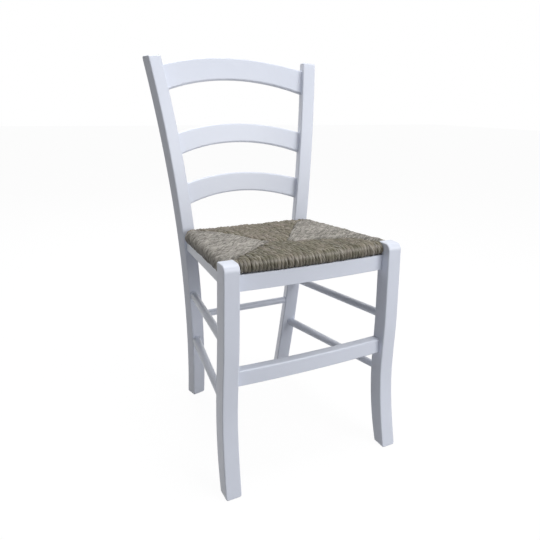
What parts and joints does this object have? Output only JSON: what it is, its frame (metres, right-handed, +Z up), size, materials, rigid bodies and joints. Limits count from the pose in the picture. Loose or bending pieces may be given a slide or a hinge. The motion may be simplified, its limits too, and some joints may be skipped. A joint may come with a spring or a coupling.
{
  "type": "wooden dining chair",
  "caption": "White-lacquered country dining chair with a splayed ladder back of arched slats, sabre front legs, round side stretchers and a woven rush seat in four panels.",
  "frame": {"origin": "Bottom centre of the chair's bounding box, on the floor.", "axes": "+X to the chair's right side as seen from in front, +Y from the front legs towards the back, +Z up."},
  "size_m": [0.4694, 0.4894, 0.8726],
  "materials": {
    "lacquered_wood": "satin white lacquer",
    "plain_wood": "sawn, unfinished",
    "straw_stuffing": "packed straw",
    "woven_rush": "twisted rush, matt",
    "screw_steel": "zinc plated"
  },
  "bodies": {
    "root": {"front_left_leg": "lacquered_wood", "front_right_leg": "lacquered_wood", "rear_left_post": "lacquered_wood", "rear_right_post": "lacquered_wood", "top_slat": "lacquered_wood", "middle_slat": "lacquered_wood", "lower_slat": "lacquered_wood", "front_apron": "lacquered_wood", "rear_apron": "lacquered_wood", "left_apron": "lacquered_wood", "right_apron": "lacquered_wood", "front_stretcher": "lacquered_wood", "left_upper_stretcher": "lacquered_wood", "left_lower_stretcher": "lacquered_wood", "right_upper_stretcher": "lacquered_wood", "right_lower_stretcher": "lacquered_wood", "rear_stretcher": "lacquered_wood", "seat_front_rail": "plain_wood", "seat_rear_rail": "plain_wood", "seat_left_rail": "plain_wood", "seat_right_rail": "plain_wood", "seat_stuffing": "straw_stuffing", "rush_front_panel": "woven_rush", "rush_back_panel": "woven_rush", "rush_left_panel": "woven_rush", "rush_right_panel": "woven_rush", "seat_screws": "screw_steel"}
  },
  "joints": []
}
